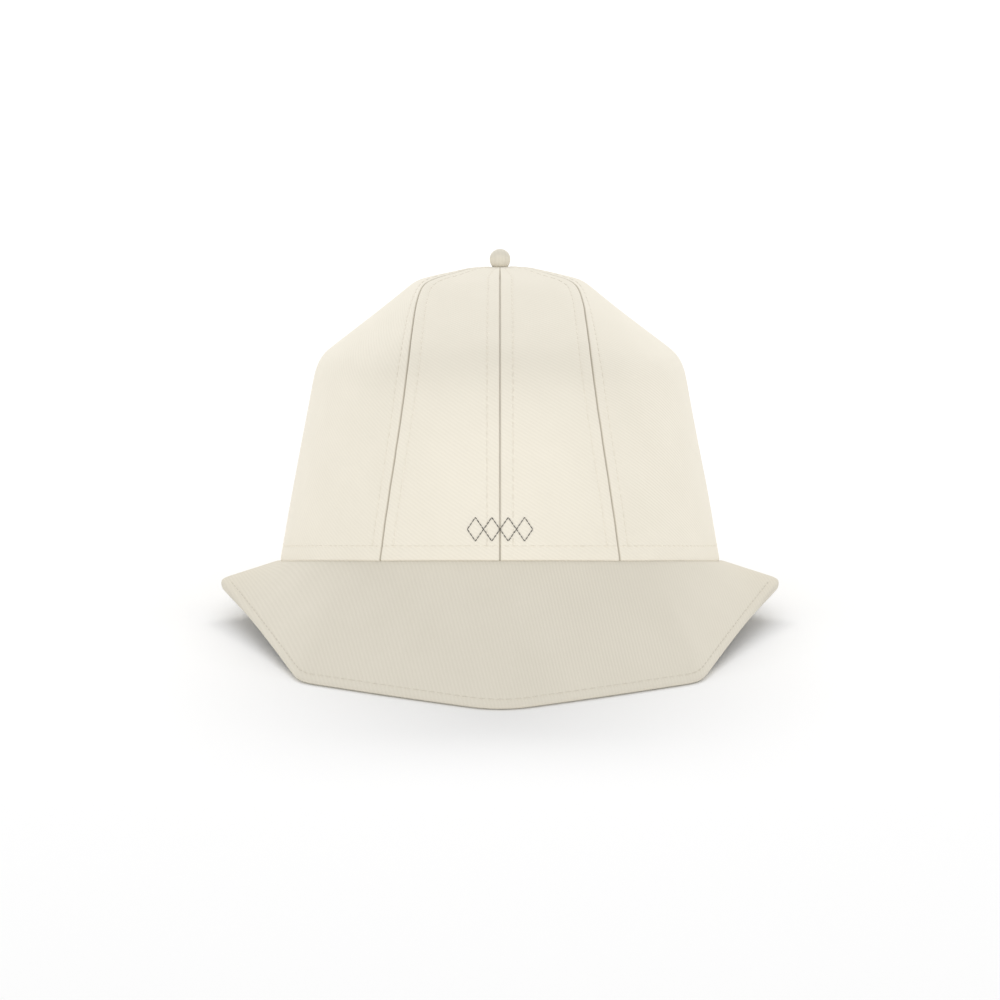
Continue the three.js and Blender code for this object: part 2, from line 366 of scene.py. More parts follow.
# %% [markdown]
# Sewing thread is smooth, long-fibred cotton, so it is a little glossier than the cloth. The
# seams' thread is dyed to match the cloth, and the motif's is dark grey. The rivet behind the
# button is zinc-plated steel, bright but softly clouded by the plating.

# %% Thread and rivet
TWIST_SIZE = 1.1 * MM  # one turn of the thread's twist
PLATING_GRAIN = 0.7 * MM  # far finer on real plating, drawn coarser so that it shows


def sewing_thread(name, light, shade):
    """Smooth cotton thread, with the small changes of tone that its twist gives."""
    material, tree, shader = new_material(name, Roughness=0.6, Specular_IOR_Level=0.35, Sheen_Weight=0.1)
    place = add_node(tree, "ShaderNodeTexCoord").outputs["Object"]
    twist = add_node(tree, "ShaderNodeTexNoise", {
        "Vector": place, "Scale": 1 / TWIST_SIZE, "Detail": 1.0,
    })
    colour = add_node(tree, "ShaderNodeMix", {
        "Factor": twist.outputs["Fac"], COLOUR_A: linear(shade), COLOUR_B: linear(light),
    }, data_type="RGBA")
    tree.links.new(colour.outputs[MIXED], shader.inputs["Base Color"])
    return material


def zinc_plated_steel(name):
    """Bright plated steel, its gloss clouded by the plating's grain."""
    material, tree, shader = new_material(name, Metallic=1.0, Base_Color=linear("#c9cbcc"))
    place = add_node(tree, "ShaderNodeTexCoord").outputs["Object"]
    grain = add_node(tree, "ShaderNodeTexNoise", {
        "Vector": place, "Scale": 1 / PLATING_GRAIN, "Detail": 2.0,
    })
    gloss = add_node(tree, "ShaderNodeMapRange", {
        "Value": grain.outputs["Fac"], "To Min": 0.25, "To Max": 0.5,
    })
    tree.links.new(gloss.outputs["Result"], shader.inputs["Roughness"])
    return material


CREAM_THREAD = sewing_thread("cream_sewing_thread", light="#efe9dc", shade="#ddd6c6")
BEIGE_THREAD = sewing_thread("beige_sewing_thread", light="#d9d3c5", shade="#c6c0b1")
GREY_THREAD = sewing_thread("dark_grey_thread", light="#6a6763", shade="#4c4a47")
RIVET_STEEL = zinc_plated_steel("zinc_plated_steel")
print("made", [material.name for material in (CREAM_THREAD, BEIGE_THREAD, GREY_THREAD, RIVET_STEEL)])

# %% [markdown]
# ## The six panels
# Each panel is one cut of cloth, sewn to its neighbours along its two sides, with its edges
# turned in. Seen close, cloth rolls into a seam and leaves a narrow groove, and a row of
# topstitching 5 mm away presses a shallow channel. A table gives that section, from the seam
# inwards. The turned-in edges double the cloth beside the seams and along the hem. The hem's
# fold reaches a little below the pattern, because the cloth presses on the peak and the floor.
# The seams' grooves are greyed with painted shade, so the table also says how much of that each place
# has.

# %% How the cloth lies beside a seam and along the hem
SEAM_SECTION = [
    # the last column is painted shade, darkest in the seam's groove
    {"place": "seam", "across": 0.02, "depth": 0.9, "wear_and_seam_shade": 1.0},
    {"place": "wall", "across": 0.22, "depth": 0.55, "wear_and_seam_shade": 0.8},
    {"place": "roll", "across": 0.42, "depth": 0.14, "wear_and_seam_shade": 0.2},
    {"place": "shoulder", "across": 0.8, "depth": 0.02, "wear_and_seam_shade": 0.0},
    {"place": "flat", "across": 1.9, "depth": 0.0, "wear_and_seam_shade": 0.0},
    {"place": "channel edge", "across": 4.2, "depth": 0.0, "wear_and_seam_shade": 0.0},
    {"place": "channel", "across": 5.0, "depth": 0.16, "wear_and_seam_shade": 0.0},
    {"place": "channel end", "across": 5.8, "depth": 0.0, "wear_and_seam_shade": 0.0},
    {"place": "single cloth", "across": 7.5, "depth": 0.0, "wear_and_seam_shade": 0.0},
]
HEM_SECTION = [
    {"place": "fold", "up": -0.3, "depth": 0.28},
    {"place": "roll", "up": 0.25, "depth": 0.06},
    {"place": "flat", "up": 1.6, "depth": 0.0},
    {"place": "channel edge", "up": 5.2, "depth": 0.0},
    {"place": "channel", "up": 6.0, "depth": 0.16},
    {"place": "channel end", "up": 6.8, "depth": 0.0},
    {"place": "turned edge", "up": 9.5, "depth": 0.0},
]
CLOTH_THICK = 0.8
TURNED_IN = next(stop["across"] for stop in SEAM_SECTION if stop["place"] == "channel end")
SEAM_SHARE = 0.3  # the most of a panel's width that the section beside one seam takes up

RUNS = len(CROWN) - 1
first_run = (crown_point(math.pi / 2, 1 / RUNS) - crown_point(math.pi / 2, 0)).length
CLIMB_PER_MM = 1 / RUNS / first_run
EYE_CLIMB = 1 - EYE_RADIUS / CROWN[-2]["front"] / RUNS
print("one mm up from the hem is a climb of", round(CLIMB_PER_MM, 5))

# %% [markdown]
# A panel spans from one seam to the next. A seam is written as a function that gives its angle
# round the head at a climb. Three spans on the wearer's left are enough, because those on the
# right are the same ones mirrored.

# %% Where the seams run
def front_centre(climb):
    """The seam that runs up from the forehead."""
    return 0.0


def front_seam(climb):
    """The seam between the front and the side panel."""
    return ring_at(climb)["front_seam"]


def rear_seam(climb):
    """The seam between the side and the back panel."""
    return ring_at(climb)["rear_seam"]


def back_centre(climb):
    """The seam that runs up from the nape."""
    return math.pi


def on_the_right(span):
    """The same span on the wearer's right."""
    start, end = span
    return (lambda climb: -end(climb)), (lambda climb: -start(climb))


FRONT, SIDE, BACK = (front_centre, front_seam), (front_seam, rear_seam), (rear_seam, back_centre)
SPANS = {"front": FRONT, "side": SIDE, "back": BACK}
print("at the hem the front seam is", round(math.degrees(front_seam(0))), "degrees from the middle")

# %% [markdown]
# The panel starts as a grid, and each of its points is moved to its place, as with a sculpting
# brush that knows the pattern. A simulation would sag a crown that its backing keeps up, so
# the small waves and puckers are put in: broad noise everywhere and short noise that fades
# away from the seams. The noise is read at the point in space, so two panels that meet in a
# seam wave together. Both grow from nothing at the hem, which the peak holds in shape.

# %% A point of the cloth
BROAD_WAVE, BROAD_HEIGHT = 42.0, 0.5
PUCKER_WAVE, PUCKER_HEIGHT, PUCKER_REACH = 6.0, 0.22, 5.0
HEM_CALM = 18.0  # how far above the hem the waves are at their full height
PACE_STEPS = 8


def panel_point(span, angle, climb, away, depth):
    """A point of a panel's cloth, in mm, depth below the pattern, away from its nearest seam."""
    start, end = (seam(climb) for seam in span)
    chord = math.cos((end - start) / 2) / math.cos(angle - (start + end) / 2)
    point = crown_point(angle, climb, 1 + ring_at(climb)["facet"] * (chord - 1))
    calm = max(0.0, min(1.0, climb / CLIMB_PER_MM / HEM_CALM))
    broad = BROAD_HEIGHT * noise.noise(point / BROAD_WAVE)
    pucker = PUCKER_HEIGHT * noise.noise(point / PUCKER_WAVE) * math.exp(-away / PUCKER_REACH)
    return point + crown_outward(angle, climb) * (calm * (broad + pucker) - depth)


def seam_pace(span, climb):
    """How many mm of cloth one radian is across a panel, and how far its seam section shrinks."""
    start, end = (seam(climb) for seam in span)
    steps = [step / PACE_STEPS for step in range(PACE_STEPS + 1)]
    stops = [crown_point(start + (end - start) * step, climb) for step in steps]
    width = sum((b - a).length for a, b in zip(stops, stops[1:]))
    shrink = min(1.0, SEAM_SHARE * width / SEAM_SECTION[-1]["across"])
    return width / (end - start), shrink


print("along the front of the hem, one radian is", round(seam_pace(FRONT, 0)[0]), "mm of cloth")

# %% [markdown]
# A panel's rows and columns lie close together where the cloth bends sharply, beside the seams
# and along the hem, and 2 to 5 mm apart elsewhere. Each point is worked out twice, on the
# cloth's outer face and straight below it on the inner one.

# %% Rows and columns of a panel
RUN_ROWS = [26, 20, 12, 4]
INNER_COLUMNS = {"front": 10, "side": 26, "back": 22}


def row_climbs():
    """The climb of each row of a panel and how deep the hem's fold puts it."""
    hem = [(row["up"] * CLIMB_PER_MM, row["depth"]) for row in HEM_SECTION]
    climbs = [(run + row / rows) / RUNS for run, rows in enumerate(RUN_ROWS) for row in range(rows)]
    between = [(climb, 0.0) for climb in climbs if hem[-1][0] + STEP < climb < EYE_CLIMB - STEP]
    return hem + between + [(EYE_CLIMB, 0.0)]


def row_columns(span, climb, inner):
    """The columns of one row: angle, distance from the nearest seam and depth."""
    start, end = (seam(climb) for seam in span)
    pace, shrink = seam_pace(span, climb)
    beside = [(stop["across"] * shrink, stop["depth"] * shrink) for stop in SEAM_SECTION]
    reach = beside[-1][0]
    left = [(start + across / pace, across, depth) for across, depth in beside]
    right = [(end - across / pace, across, depth) for across, depth in reversed(beside)]
    steps = [step / inner for step in range(1, inner)]
    between = [left[-1][0] + (right[0][0] - left[-1][0]) * step for step in steps]
    return left + [(angle, reach, 0.0) for angle in between] + right


def panel_faces(span, inner):
    """The outer and the inner face of a panel, each as rows of points in metres."""
    outside, inside = [], []
    for climb, hem_depth in row_climbs():
        in_hem = climb <= HEM_SECTION[-1]["up"] * CLIMB_PER_MM
        outer_row, inner_row = [], []
        for angle, away, depth in row_columns(span, climb, inner):
            wall = CLOTH_THICK * (2 if in_hem or away < TURNED_IN else 1)
            outer_row.append(leaned(panel_point(span, angle, climb, away, depth + hem_depth)))
            inner_row.append(leaned(panel_point(span, angle, climb, away, wall)))
        outside.append(outer_row)
        inside.append(inner_row)
    return outside, inside


print("each panel has", len(row_climbs()), "rows of points from the hem to the eye")

# %% [markdown]
# A grid primitive has its rows and columns in a square, so each of its points can be told by
# where it lies, and moved to where the pattern has it. Its UV map becomes the cloth as it was
# cut, and how much it is greyed is written as an attribute, which the twill's material reads:
# painted shade in the seams' grooves, wear along the peak's edge. Solidify gives the grid its
# wall. Left to itself it would thicken the rolled edges askew and open the seams, so the wall's
# inner face is then set point by point.

# %% From a grid to cloth
def shaped_grid(name, points, cut):
    """A grid primitive with its points moved to their places and its UV map laid out as cut."""
    rows, columns = len(points) - 1, len(points[0]) - 1
    pick()
    bpy.ops.mesh.primitive_grid_add(x_subdivisions=columns, y_subdivisions=rows, size=1)
    grid = named(name)
    spots = []
    for vertex in grid.data.vertices:
        spot = (round((vertex.co.y + 0.5) * rows), round((vertex.co.x + 0.5) * columns))
        vertex.co = points[spot[0]][spot[1]]
        spots.append(spot)
    layer = grid.data.uv_layers.active
    layer.name = "cut"
    for loop in grid.data.loops:
        row, column = spots[loop.vertex_index]
        layer.data[loop.index].uv = cut[row][column]
    return grid, spots


def mark_wear_and_seam_shade(piece, spots, by_row, by_column):
    """Writes how much a grid is greyed at each point, 0 to 1: painted shade in seams, wear at the peak's
    edge.
    """
    layer = piece.data.attributes.new("wear_and_seam_shade", "FLOAT", "POINT")
    for index, (row, column) in enumerate(spots):
        layer.data[index].value = max(by_row[row], by_column[column])


def add_wall(piece, spots, thickness, inside):
    """Gives a grid its wall. Solidify's inner points follow the outer ones, in the same order."""
    apply_modifier(piece, "SOLIDIFY", thickness=thickness * MM, offset=-1)
    for index, (row, column) in enumerate(spots):
        piece.data.vertices[len(spots) + index].co = inside[row][column]


def running_length(points):
    """How far along a line of points each of them is."""
    lengths = [0.0]
    for before, after in zip(points, points[1:]):
        lengths.append(lengths[-1] + (after - before).length)
    return lengths


print("the cloth is", CLOTH_THICK, "mm thick, and", 2 * CLOTH_THICK, "mm where it is turned in")

# %% [markdown]
# Now the panels can be cut. A full crease along a panel's two sewn edges keeps them meeting its
# neighbours when it is subdivided.

# %% Cutting the panels
def crease_sides(panel, spots, last_column):
    """Keeps the sewn edges of a panel sharp when it is subdivided."""
    sewn = {index for index, (_, column) in enumerate(spots) if column in (0, last_column)}
    creases = panel.data.attributes.new("crease_edge", "FLOAT", "EDGE")
    for edge in panel.data.edges:
        if all(vertex % len(spots) in sewn for vertex in edge.vertices):
            creases.data[edge.index].value = 1.0


def cut_panel(name, node, span, inner):
    """One panel of the crown: cloth shaped by the pattern, with a wall."""
    outside, inside = panel_faces(span, inner)
    up = running_length([row[len(row) // 2] for row in outside])
    cut = []
    for row, height in zip(outside, up):
        across = running_length(row)
        cut.append([(along - across[-1] / 2, height) for along in across])
    panel, spots = shaped_grid(name, outside, cut)
    # a panel's greying is painted shade in its seams' grooves
    beside = [stop["wear_and_seam_shade"] for stop in SEAM_SECTION]
    mark_wear_and_seam_shade(panel, spots, [0.0] * len(cut), beside + [0.0] * (inner - 1) + beside[::-1])
    add_wall(panel, spots, CLOTH_THICK, inside)
    crease_sides(panel, spots, len(cut[0]) - 1)
    smooth(panel, 1)
    off_the_floor(panel)
    dress(panel, CREAM_TWILL, replaces=[node])


for part, span in SPANS.items():
    cut_panel(f"cloth_{part}_left", f"panel_{part}_left", span, INNER_COLUMNS[part])
    cut_panel(f"cloth_{part}_right", f"panel_{part}_right", on_the_right(span), INNER_COLUMNS[part])

# %% [markdown]
# ## Topstitching
# After a seam is sewn, its turned edges are held flat by a row of stitches on each side. One
# stitch is modelled and then repeated along the row: a small sphere drawn out to a stitch's
# length, an Array modifier that sets its copies end to end, and a Curve modifier that bends the
# row to its route on the cloth. The same few lines sew the hem, the peak and the motif.

# %% Sewing a row of stitches
STITCH = {"length": 2.7, "gap": 0.7, "thick": 0.42}


def sew(name, route, stitch=STITCH):
    """A row of stitches along a route of points in metres."""
    length = running_length(route)[-1]
    count = max(1, round(length / MM / (stitch["length"] + stitch["gap"])))
    pitch = length / count
    guide_line = bpy.data.curves.new(name + "_route", "CURVE")
    guide_line.dimensions = "3D"
    spline = guide_line.splines.new("POLY")
    spline.points.add(len(route) - 1)
    for stop, point in zip(spline.points, route):
        stop.co = (*point, 1)
    guide = bpy.data.objects.new(name + "_route", guide_line)
    bpy.context.scene.collection.objects.link(guide)
    pick()
    bpy.ops.mesh.primitive_uv_sphere_add(
        segments=6, ring_count=5, radius=0.5, location=(pitch / 2, 0, 0)
    )
    row = named(name)
    row.rotation_euler = (0, math.pi / 2, 0)
    row.scale = (stitch["thick"] * MM, stitch["thick"] * MM, pitch - stitch["gap"] * MM)
    bpy.ops.object.transform_apply(location=True, rotation=True, scale=True)
    apply_modifier(
        row, "ARRAY", fit_type="FIXED_COUNT", count=count,
        use_relative_offset=False, use_constant_offset=True, constant_offset_displace=(pitch, 0, 0),
    )
    apply_modifier(row, "CURVE", object=guide)
    bpy.ops.object.shade_smooth()
    bpy.data.objects.remove(guide)
    return row


def joined(name, rows):
    """Several rows of stitches as one piece."""
    pick(*rows)
    bpy.ops.object.join()
    return named(name)


print("a stitch every", round(STITCH["length"] + STITCH["gap"], 1), "mm")

# %% [markdown]
# Each seam has a row on either side, 5 mm away, so its two rows lie on two panels. The thread
# pulls itself into the cloth, and the rows lie in the channels that the panels have for them.
# The rows of a seam are joined, as one run of thread sews them.

# %% Both sides of each seam
SEAM_STITCH_AWAY = next(stop["across"] for stop in SEAM_SECTION if stop["place"] == "channel")
HEM_STITCH_UP = next(stop["up"] for stop in HEM_SECTION if stop["place"] == "channel")
HEM_STITCH_CLIMB = HEM_STITCH_UP * CLIMB_PER_MM
STITCH_DEPTH = 0.1  # how deep the thread's middle lies below the cloth's face, in the channel
ROUTE_STEPS = 90
LAST_STITCH = 0.9  # the climb at which the rows end, just short of the button

stitch_climbs = [
    HEM_STITCH_CLIMB + (LAST_STITCH - HEM_STITCH_CLIMB) * step / ROUTE_STEPS
    for step in range(ROUTE_STEPS + 1)
]


def beside_seam(span, at_start, climb):
    """A point of the row of stitches beside the seam at one side of a panel, in metres."""
    pace, shrink = seam_pace(span, climb)
    away = SEAM_STITCH_AWAY * shrink
    angle = span[0](climb) + away / pace if at_start else span[1](climb) - away / pace
    return leaned(panel_point(span, angle, climb, away, STITCH_DEPTH))


def seam_rows(name, ending, starting):
    """The rows beside one seam, on the panel that ends at it and on the one that starts there."""
    rows = []
    for number, span in enumerate((ending, starting)):
        route = [beside_seam(span, span is starting, climb) for climb in stitch_climbs]
        rows.append(sew(f"{name}_{number}", route))
    dress(joined(name, rows), CREAM_THREAD)


seam_rows("topstitch_front_centre", on_the_right(FRONT), FRONT)
seam_rows("topstitch_front_left", FRONT, SIDE)
seam_rows("topstitch_front_right", on_the_right(SIDE), on_the_right(FRONT))
seam_rows("topstitch_rear_left", SIDE, BACK)
seam_rows("topstitch_rear_right", on_the_right(BACK), on_the_right(SIDE))
seam_rows("topstitch_back_centre", BACK, on_the_right(BACK))

# %% [markdown]
# The hem is turned in once and held by one row of stitches, 6 mm above the fold. It crosses the
# seams, so it is sewn panel by panel and then joined.

# %% The hem's stitches
HEM_STEPS = 48
HEM_FROM_SEAM = 0.6  # how far from each seam a panel's row starts and ends


def hem_row(name, span):
    """The hem's row of stitches across one panel."""
    pace, _ = seam_pace(span, HEM_STITCH_CLIMB)
    start = span[0](HEM_STITCH_CLIMB) + HEM_FROM_SEAM / pace
    end = span[1](HEM_STITCH_CLIMB) - HEM_FROM_SEAM / pace
    route = []
    for step in range(HEM_STEPS + 1):
        angle = start + (end - start) * step / HEM_STEPS
        away = min(step, HEM_STEPS - step) / HEM_STEPS * (end - start) * pace
        route.append(leaned(panel_point(span, angle, HEM_STITCH_CLIMB, away, STITCH_DEPTH)))
    return sew(name, route)


hem_rows = []
for part, span in SPANS.items():
    hem_rows.append(hem_row(f"hem_{part}_left", span))
    hem_rows.append(hem_row(f"hem_{part}_right", on_the_right(span)))
dress(joined("topstitch_hem", hem_rows), CREAM_THREAD)

# %% [markdown]
# ## The covered button
# A cap's button is a small dome pressed through a disc of cloth, whose edge is gathered behind
# it. It starts as a sphere on the crown point. Its underside is cut off with bisect where it
# meets the crown, and the open edge is extruded down into the eye and drawn in, as the cloth is
# when it turns under. Small gathers are then pushed into the lower half, and its back is drawn
# down to where the crown falls away. It is made upright and leans with the crown at the end.

# %% The cloth dome
GATHERS, GATHER_DEPTH = 14, 0.12
GATHERS_UP, GATHERS_FADE = 1.6, 2.0  # how far above the dome's middle they end, and over what height
TURN_UNDER = -0.1  # how high above the crown point the cloth turns under
TURN_STEPS = [{"down": 0.7, "narrower": 0.85}, {"down": -0.5, "narrower": 0.6}]
slope_behind = (crown_top - CROWN[-2]["back_up"]) / CROWN[-2]["back"]


def lean_on_crown(piece):
    """Leans a piece that was made upright at the crown point, and puts its place in its mesh."""
    place = Matrix.Translation(leaned(Vector((0, 0, crown_top))))
    piece.matrix_world = place @ Matrix.Rotation(-LEAN, 4, "X")
    pick(piece)
    bpy.ops.object.transform_apply(location=True, rotation=True, scale=True)


pick()
bpy.ops.mesh.primitive_uv_sphere_add(
    segments=56, ring_count=28, radius=BUTTON_RADIUS * MM, location=(0, 0, BUTTON_UP * MM)
)
dome = named("covered_button")
bpy.ops.object.transform_apply(location=True, rotation=False, scale=False)
bpy.ops.object.mode_set(mode="EDIT")
bpy.ops.mesh.select_all(action="SELECT")
bpy.ops.mesh.bisect(plane_co=(0, 0, TURN_UNDER * MM), plane_no=(0, 0, 1), clear_inner=True)
bpy.ops.mesh.select_all(action="DESELECT")
bpy.ops.mesh.select_non_manifold()
for turn in TURN_STEPS:
    bpy.ops.mesh.extrude_edges_move(TRANSFORM_OT_translate={"value": (0, 0, -turn["down"] * MM)})
    bpy.ops.transform.resize(value=(turn["narrower"], turn["narrower"], 1), center_override=(0, 0, 0))
bpy.ops.object.mode_set(mode="OBJECT")
for vertex in dome.data.vertices:
    share = max(0.0, min(1.0, (BUTTON_UP + GATHERS_UP - vertex.co.z / MM) / GATHERS_FADE))
    around = math.atan2(vertex.co.y, vertex.co.x)
    pinch = 1 - GATHER_DEPTH / BUTTON_RADIUS * share * (1 + math.cos(GATHERS * around)) / 2
    vertex.co.z -= share * slope_behind * max(0.0, vertex.co.y)
    vertex.co.x *= pinch
    vertex.co.y *= pinch
for loop in dome.data.loops:
    spot = dome.data.vertices[loop.vertex_index].co
    dome.data.uv_layers.active.data[loop.index].uv = (spot.x, spot.y)
dome.data.uv_layers.active.name = "cut"
smooth(dome, 1)
lean_on_crown(dome)
dress(dome, BEIGE_TWILL, replaces=["button"])

# %% [markdown]
# The dome is held by a rivet through the eye where the panels meet: a shank and a flat head
# inside the crown. The head is a cylinder, whose upper face is inset to the shank's width and
# extruded up into the dome, and its edges get a small bevel.

# %% The rivet behind it
SHANK_RADIUS, RIVET_RADIUS, RIVET_THICK, RIVET_DOWN = 1.7, 3.6, 1.0, 4.0
RIVET_BEVEL = 0.15
SHARP_ANGLE = math.radians(40)
FACES_UP = 0.9  # a face whose normal has more than this of up in it

pick()
bpy.ops.mesh.primitive_cylinder_add(
    vertices=40, radius=RIVET_RADIUS * MM, depth=RIVET_THICK * MM,
    location=(0, 0, -(RIVET_DOWN + RIVET_THICK / 2) * MM),
)
rivet = named("button_rivet")
bpy.ops.object.transform_apply(location=True, rotation=False, scale=False)
bpy.ops.object.mode_set(mode="EDIT")
bpy.ops.mesh.select_mode(type="FACE")
bpy.ops.mesh.select_all(action="DESELECT")
bpy.ops.object.mode_set(mode="OBJECT")
for face in rivet.data.polygons:
    face.select = face.normal.z > FACES_UP
bpy.ops.object.mode_set(mode="EDIT")
bpy.ops.mesh.inset(thickness=(RIVET_RADIUS - SHANK_RADIUS) * MM)
shank_length = RIVET_DOWN + BUTTON_UP
bpy.ops.mesh.extrude_region_move(TRANSFORM_OT_translate={"value": (0, 0, shank_length * MM)})
bpy.ops.object.mode_set(mode="OBJECT")
apply_modifier(rivet, "BEVEL", width=RIVET_BEVEL * MM, segments=2, limit_method="ANGLE")
bpy.ops.object.shade_smooth_by_angle(angle=SHARP_ANGLE)
lean_on_crown(rivet)
dress(rivet, RIVET_STEEL)

# %% [markdown]
# ## The peak
# The peak is a stiff board between two layers of twill, sewn under the front of the hem. Its
# board is flat when it is cut and is bent to the hem, which makes a ruled surface: straight
# lines run from the hem out to the edge. The edge is drawn by a table of corners on the
# wearer's left, mirrored for the right, with the same rounded line that drew the crown.

# %% The peak's outline
PEAK_LIP, PEAK_BOARD = 1.2, 3.0  # how high its edge lies in front, and how thick it is
TUCKED_IN, UNDER_HEM = 2.0, 0.05  # how far it goes in under the hem, and the gap below the hem
PEAK_EDGE = [
    {"corner": "ear", "across": 85.5, "forward": 0, "up": 15.2, "round": 0},
    {"corner": "wing", "across": 108.4, "forward": 22, "up": 13.2, "round": 0.12},
    {"corner": "cheek", "across": 91.5, "forward": 70, "up": 7.2, "round": 0.5},
    {"corner": "bow", "across": 75.8, "forward": 118.6, "up": PEAK_LIP, "round": 0.12},
    {"corner": "front", "across": 38.6, "forward": 138.6, "up": PEAK_LIP, "round": 0.5},
    {"corner": "tip", "across": 0, "forward": 156.8, "up": PEAK_LIP, "round": 0.3},
]
EAR_START = 0.8  # how far out from the ear to the wing the short side ends
LINE_STEPS = 600


def by_length(line):
    """The same line, but read by the share of its length."""
    stops = [line(step / LINE_STEPS) for step in range(LINE_STEPS + 1)]
    lengths = running_length(stops)

    def point(share):
        wanted = share * lengths[-1]
        low, high = 0, LINE_STEPS
        while high - low > 1:
            middle = (low + high) // 2
            low, high = (middle, high) if lengths[middle] <= wanted else (low, middle)
        part = (wanted - lengths[low]) / (lengths[high] - lengths[low])
        return stops[low].lerp(stops[high], part)

    return point


def rim_line(inset):
    """The hem's outer line from the wearer's right ear to the left, in metres."""
    def point(share):
        angle = (share - 0.5) * math.pi
        return leaned(crown_point(angle, 0) - crown_outward(angle, 0) * inset)
    return by_length(point)


left_corners = [Vector((stop["across"], -stop["forward"], stop["up"])) for stop in PEAK_EDGE]
left_corners[0] = left_corners[0].lerp(left_corners[1], EAR_START)
right_corners = [Vector((-corner.x, corner.y, corner.z)) for corner in left_corners]
corners = [(corner + Vector((0, ear_y, 0))) * MM for corner in right_corners + left_corners[-2::-1]]
rounds = [stop["round"] for stop in PEAK_EDGE + PEAK_EDGE[-2::-1]]
edge_line = by_length(rounded_line(corners, rounds))
hem_line, tuck_line = rim_line(0), rim_line(TUCKED_IN)
print("the peak reaches", round((edge_line(0.5) - hem_line(0.5)).length / MM), "mm out at its middle")

# %% [markdown]
# The board gets its cloth's own section too: a soft roll round the outer edge and a channel
# 4 mm in from it for the row of stitches, which fades out before the short sides by the ears.
# Those sides are rolled as well. The edge is what a hand takes hold of, so the tables also say
# how much the cloth is greyed there.

# %% How the cloth lies on the board
EDGE_SECTION = [
    {"place": "channel end", "in": 7.5, "depth": 0.0, "wear_and_seam_shade": 0.0},
    {"place": "channel slope", "in": 4.8, "depth": 0.0, "wear_and_seam_shade": 0.0},
    {"place": "channel", "in": 4.0, "depth": 0.16, "wear_and_seam_shade": 0.0},
    {"place": "channel edge", "in": 3.2, "depth": 0.0, "wear_and_seam_shade": 0.0},
    {"place": "flat", "in": 1.6, "depth": 0.0, "wear_and_seam_shade": 0.0},
    {"place": "roll", "in": 0.5, "depth": 0.05, "wear_and_seam_shade": 0.15},
    {"place": "edge", "in": -0.25, "depth": 0.3, "wear_and_seam_shade": 0.45},
]
SIDE_SECTION = [
    {"place": "side", "around": 0.0, "depth": 0.3, "wear_and_seam_shade": 0.45},
    {"place": "roll", "around": 0.002, "depth": 0.05, "wear_and_seam_shade": 0.15},
    {"place": "flat", "around": 0.005, "depth": 0.0, "wear_and_seam_shade": 0.0},
]
AROUND_STEP = 0.004


def peak_point(around, out, depth=0.0):
    """A point of the peak at a share of the way out from the hem, so deep below its pattern."""
    hem = hem_line(around) - Vector((0, 0, UNDER_HEM * MM))
    return hem.lerp(edge_line(around), out) - Vector((0, 0, depth * MM))


def board_up(around, out):
    """The way up out of the board, read half as far out, because at the wing its edge is a ruling."""
    right, left = max(0.0, around - AROUND_STEP), min(1.0, around + AROUND_STEP)
    along = peak_point(left, out / 2) - peak_point(right, out / 2)
    outward = peak_point(around, 1) - peak_point(around, 0)
    return outward.cross(along).normalized()


def share_out(around, inwards):
    """The share of the way out at which a place lies that is so many mm in from the edge."""
    return 1 - inwards * MM / (edge_line(around) - hem_line(around)).length


lean_out = math.degrees(math.acos(board_up(0.5, 1).z))
print("at its middle the board slopes down by", round(lean_out), "degrees")

# %% [markdown]
# The peak is laid out in columns from the margin under the hem to the edge, close together at
# the two short sides. Its wall is made as the panels' is, but a board is equally thick all over,
# so the underside lies square to its slope, and its edge is a square cut all round. Subdividing
# rounds that edge as cloth drawn over it does.

# %% The board and its cloth
MIDDLE_COLUMNS, BOARD_ROWS = 132, 14
EDGE_SHARE = 0.4  # the most of the way out that the section along the edge takes up
STITCHED_FROM = 0.03  # the share of the way round where the row of stitches starts


def peak_column(around, side_depth):
    """One column of the peak, from the margin under the hem to its edge: its top and underside."""
    reach = EDGE_SECTION[0]["in"]
    shrink = min(1.0, EDGE_SHARE / (1 - share_out(around, reach)))
    rolled = share_out(around, reach * shrink)
    stops = [(rolled * row / BOARD_ROWS, side_depth) for row in range(BOARD_ROWS)]
    pressed = min(1.0, min(around, 1 - around) / STITCHED_FROM)
    for stop in EDGE_SECTION:
        depth = stop["depth"] * (pressed if stop["place"] == "channel" else 1)
        stops.append((share_out(around, stop["in"] * shrink), max(depth, side_depth)))
    tuck = tuck_line(around) - Vector((0, 0, UNDER_HEM * MM))
    top = [tuck] + [peak_point(around, out, depth) for out, depth in stops]
    underside = [tuck - Vector((0, 0, PEAK_BOARD * MM))]
    underside += [peak_point(around, out) - board_up(around, out) * PEAK_BOARD * MM for out, _ in stops]
    return top, underside


near_side = [(stop["around"], stop["depth"]) for stop in SIDE_SECTION]
flat_from = near_side[-1][0]
steps = [step / MIDDLE_COLUMNS for step in range(1, MIDDLE_COLUMNS)]
middle = [(flat_from + (1 - 2 * flat_from) * step, 0.0) for step in steps]
far_side = [(1 - around, depth) for around, depth in reversed(near_side)]
columns = [peak_column(around, depth) for around, depth in near_side + middle + far_side]
top, underside = ([list(row)[::-1] for row in zip(*face)] for face in zip(*columns))
cut = [[(point.x, point.y) for point in row] for row in top]
peak, spots = shaped_grid("stitched_peak", top, cut)
edge_worn = [0.0] * (1 + BOARD_ROWS) + [stop["wear_and_seam_shade"] for stop in EDGE_SECTION]
side_worn = [stop["wear_and_seam_shade"] for stop in SIDE_SECTION]
mark_wear_and_seam_shade(peak, spots, edge_worn, side_worn + [0.0] * (MIDDLE_COLUMNS - 1) + side_worn[::-1])
add_wall(peak, spots, PEAK_BOARD, underside)
off_the_floor(peak)
smooth(peak, 1)
